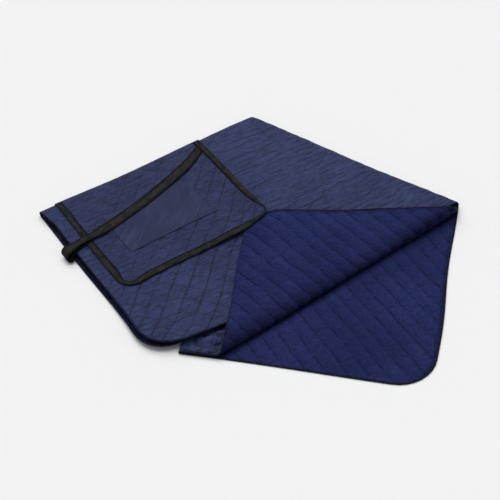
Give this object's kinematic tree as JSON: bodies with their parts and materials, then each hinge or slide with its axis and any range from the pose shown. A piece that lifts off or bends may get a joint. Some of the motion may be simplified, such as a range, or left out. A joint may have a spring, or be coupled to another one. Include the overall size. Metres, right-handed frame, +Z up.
{
  "type": "picnic blanket",
  "caption": "Quilted picnic blanket with a fleece lining, folded in half, folded under on a slant and one corner turned back, with a cover panel, pocket and carry strap.",
  "frame": {"origin": "on the ground, below the middle of the folded blanket's bounding box", "axes": "+Z up, +X along the folded blanket's longest extent, to the right as seen from the side with the turned-in half, +Y away from that side"},
  "size_m": [1.1945, 1.0454, 0.0407],
  "materials": {
    "shell_nylon": "dark slate-blue diamond-quilted nylon, faint sheen",
    "lining_fleece": "navy fleece, quilted, no sheen",
    "edge_tape": "very dark navy binding tape",
    "panel_nylon": "dark slate-blue diamond-quilted nylon, faint sheen",
    "panel_webbing": "black woven tape with a slight olive cast",
    "pocket_nylon": "plain slate-blue nylon, soft sheen in faint creases",
    "strap_webbing": "black woven webbing with a slight olive cast"
  },
  "bodies": {
    "root": {"quilted_shell": "shell_nylon", "fleece_lining": "lining_fleece", "edge_binding": "edge_tape", "cover_panel": "panel_nylon", "panel_binding": "panel_webbing", "pocket": "pocket_nylon", "carry_strap": "strap_webbing"}
  },
  "joints": []
}
